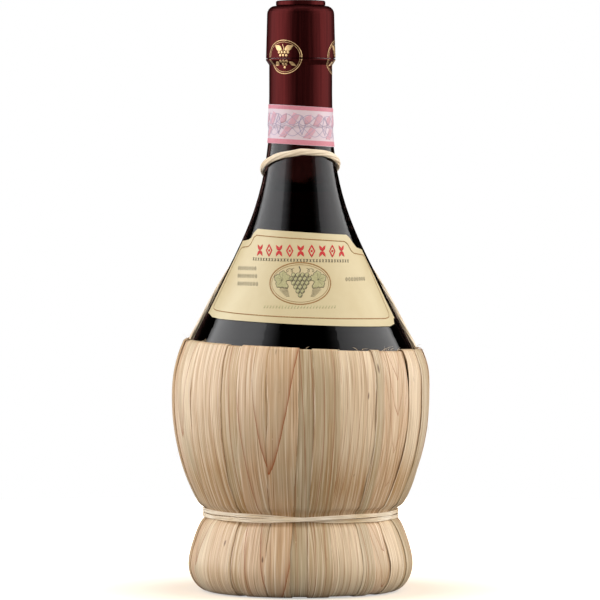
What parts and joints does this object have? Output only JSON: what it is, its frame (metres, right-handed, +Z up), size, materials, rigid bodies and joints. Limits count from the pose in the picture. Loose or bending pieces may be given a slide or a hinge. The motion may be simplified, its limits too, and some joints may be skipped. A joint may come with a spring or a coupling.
{
  "type": "wine flask",
  "caption": "Round-bellied glass wine flask with a corked and capsuled neck, standing in a basket of vertical wood-straw strips with a drawn-in waist and a round foot.",
  "frame": {"origin": "on the ground under the middle of the foot", "axes": "+Z up along the flask's axis; -Y is the front, where the label is; +X is to the right as the label is read"},
  "size_m": [0.1138, 0.1138, 0.2597],
  "materials": {
    "glass": "gloss",
    "wine": "gloss",
    "cork": "matte",
    "capsule": "satin",
    "seal_paper": "matte",
    "label_paper": "matte",
    "raffia_cord": "matte",
    "cane": "matte",
    "raffia_tie": "satin",
    "straw_bundle": "matte",
    "straw": "satin"
  },
  "bodies": {
    "bottle": {"glass_bottle": "glass", "wine": "wine", "capsule_skirt": "capsule", "seal_strip": "seal_paper", "front_label": "label_paper", "neck_loop": "raffia_cord", "rim_hoop": "cane", "waist_tie": "raffia_tie", "foot_ring": "straw_bundle", "strip_01": "straw", "strip_02": "straw", "strip_03": "straw", "strip_04": "straw", "strip_05": "straw", "strip_06": "straw", "strip_07": "straw", "strip_08": "straw", "strip_09": "straw", "strip_10": "straw", "strip_11": "straw", "strip_12": "straw", "strip_13": "straw", "strip_14": "straw", "strip_15": "straw", "strip_16": "straw", "strip_17": "straw", "strip_18": "straw", "strip_19": "straw", "strip_20": "straw", "strip_21": "straw", "strip_22": "straw", "strip_23": "straw", "strip_24": "straw", "strip_25": "straw", "strip_26": "straw", "strip_27": "straw", "strip_28": "straw", "strip_29": "straw", "strip_30": "straw", "strip_31": "straw", "strip_32": "straw", "strip_33": "straw", "strip_34": "straw", "strip_35": "straw", "strip_36": "straw"},
    "cork": {"cork": "cork"},
    "cap": {"capsule_cap": "capsule", "capsule_disc": "capsule"}
  },
  "joints": [
    {"name": "cork_draw", "type": "slide", "parent": "bottle", "child": "cork", "axis": [0, 0, 1], "range_m": [0, 0.06]},
    {"name": "cap_lift", "type": "slide", "parent": "cork", "child": "cap", "axis": [0, 0, 1], "range_m": [0, 0.05]}
  ]
}
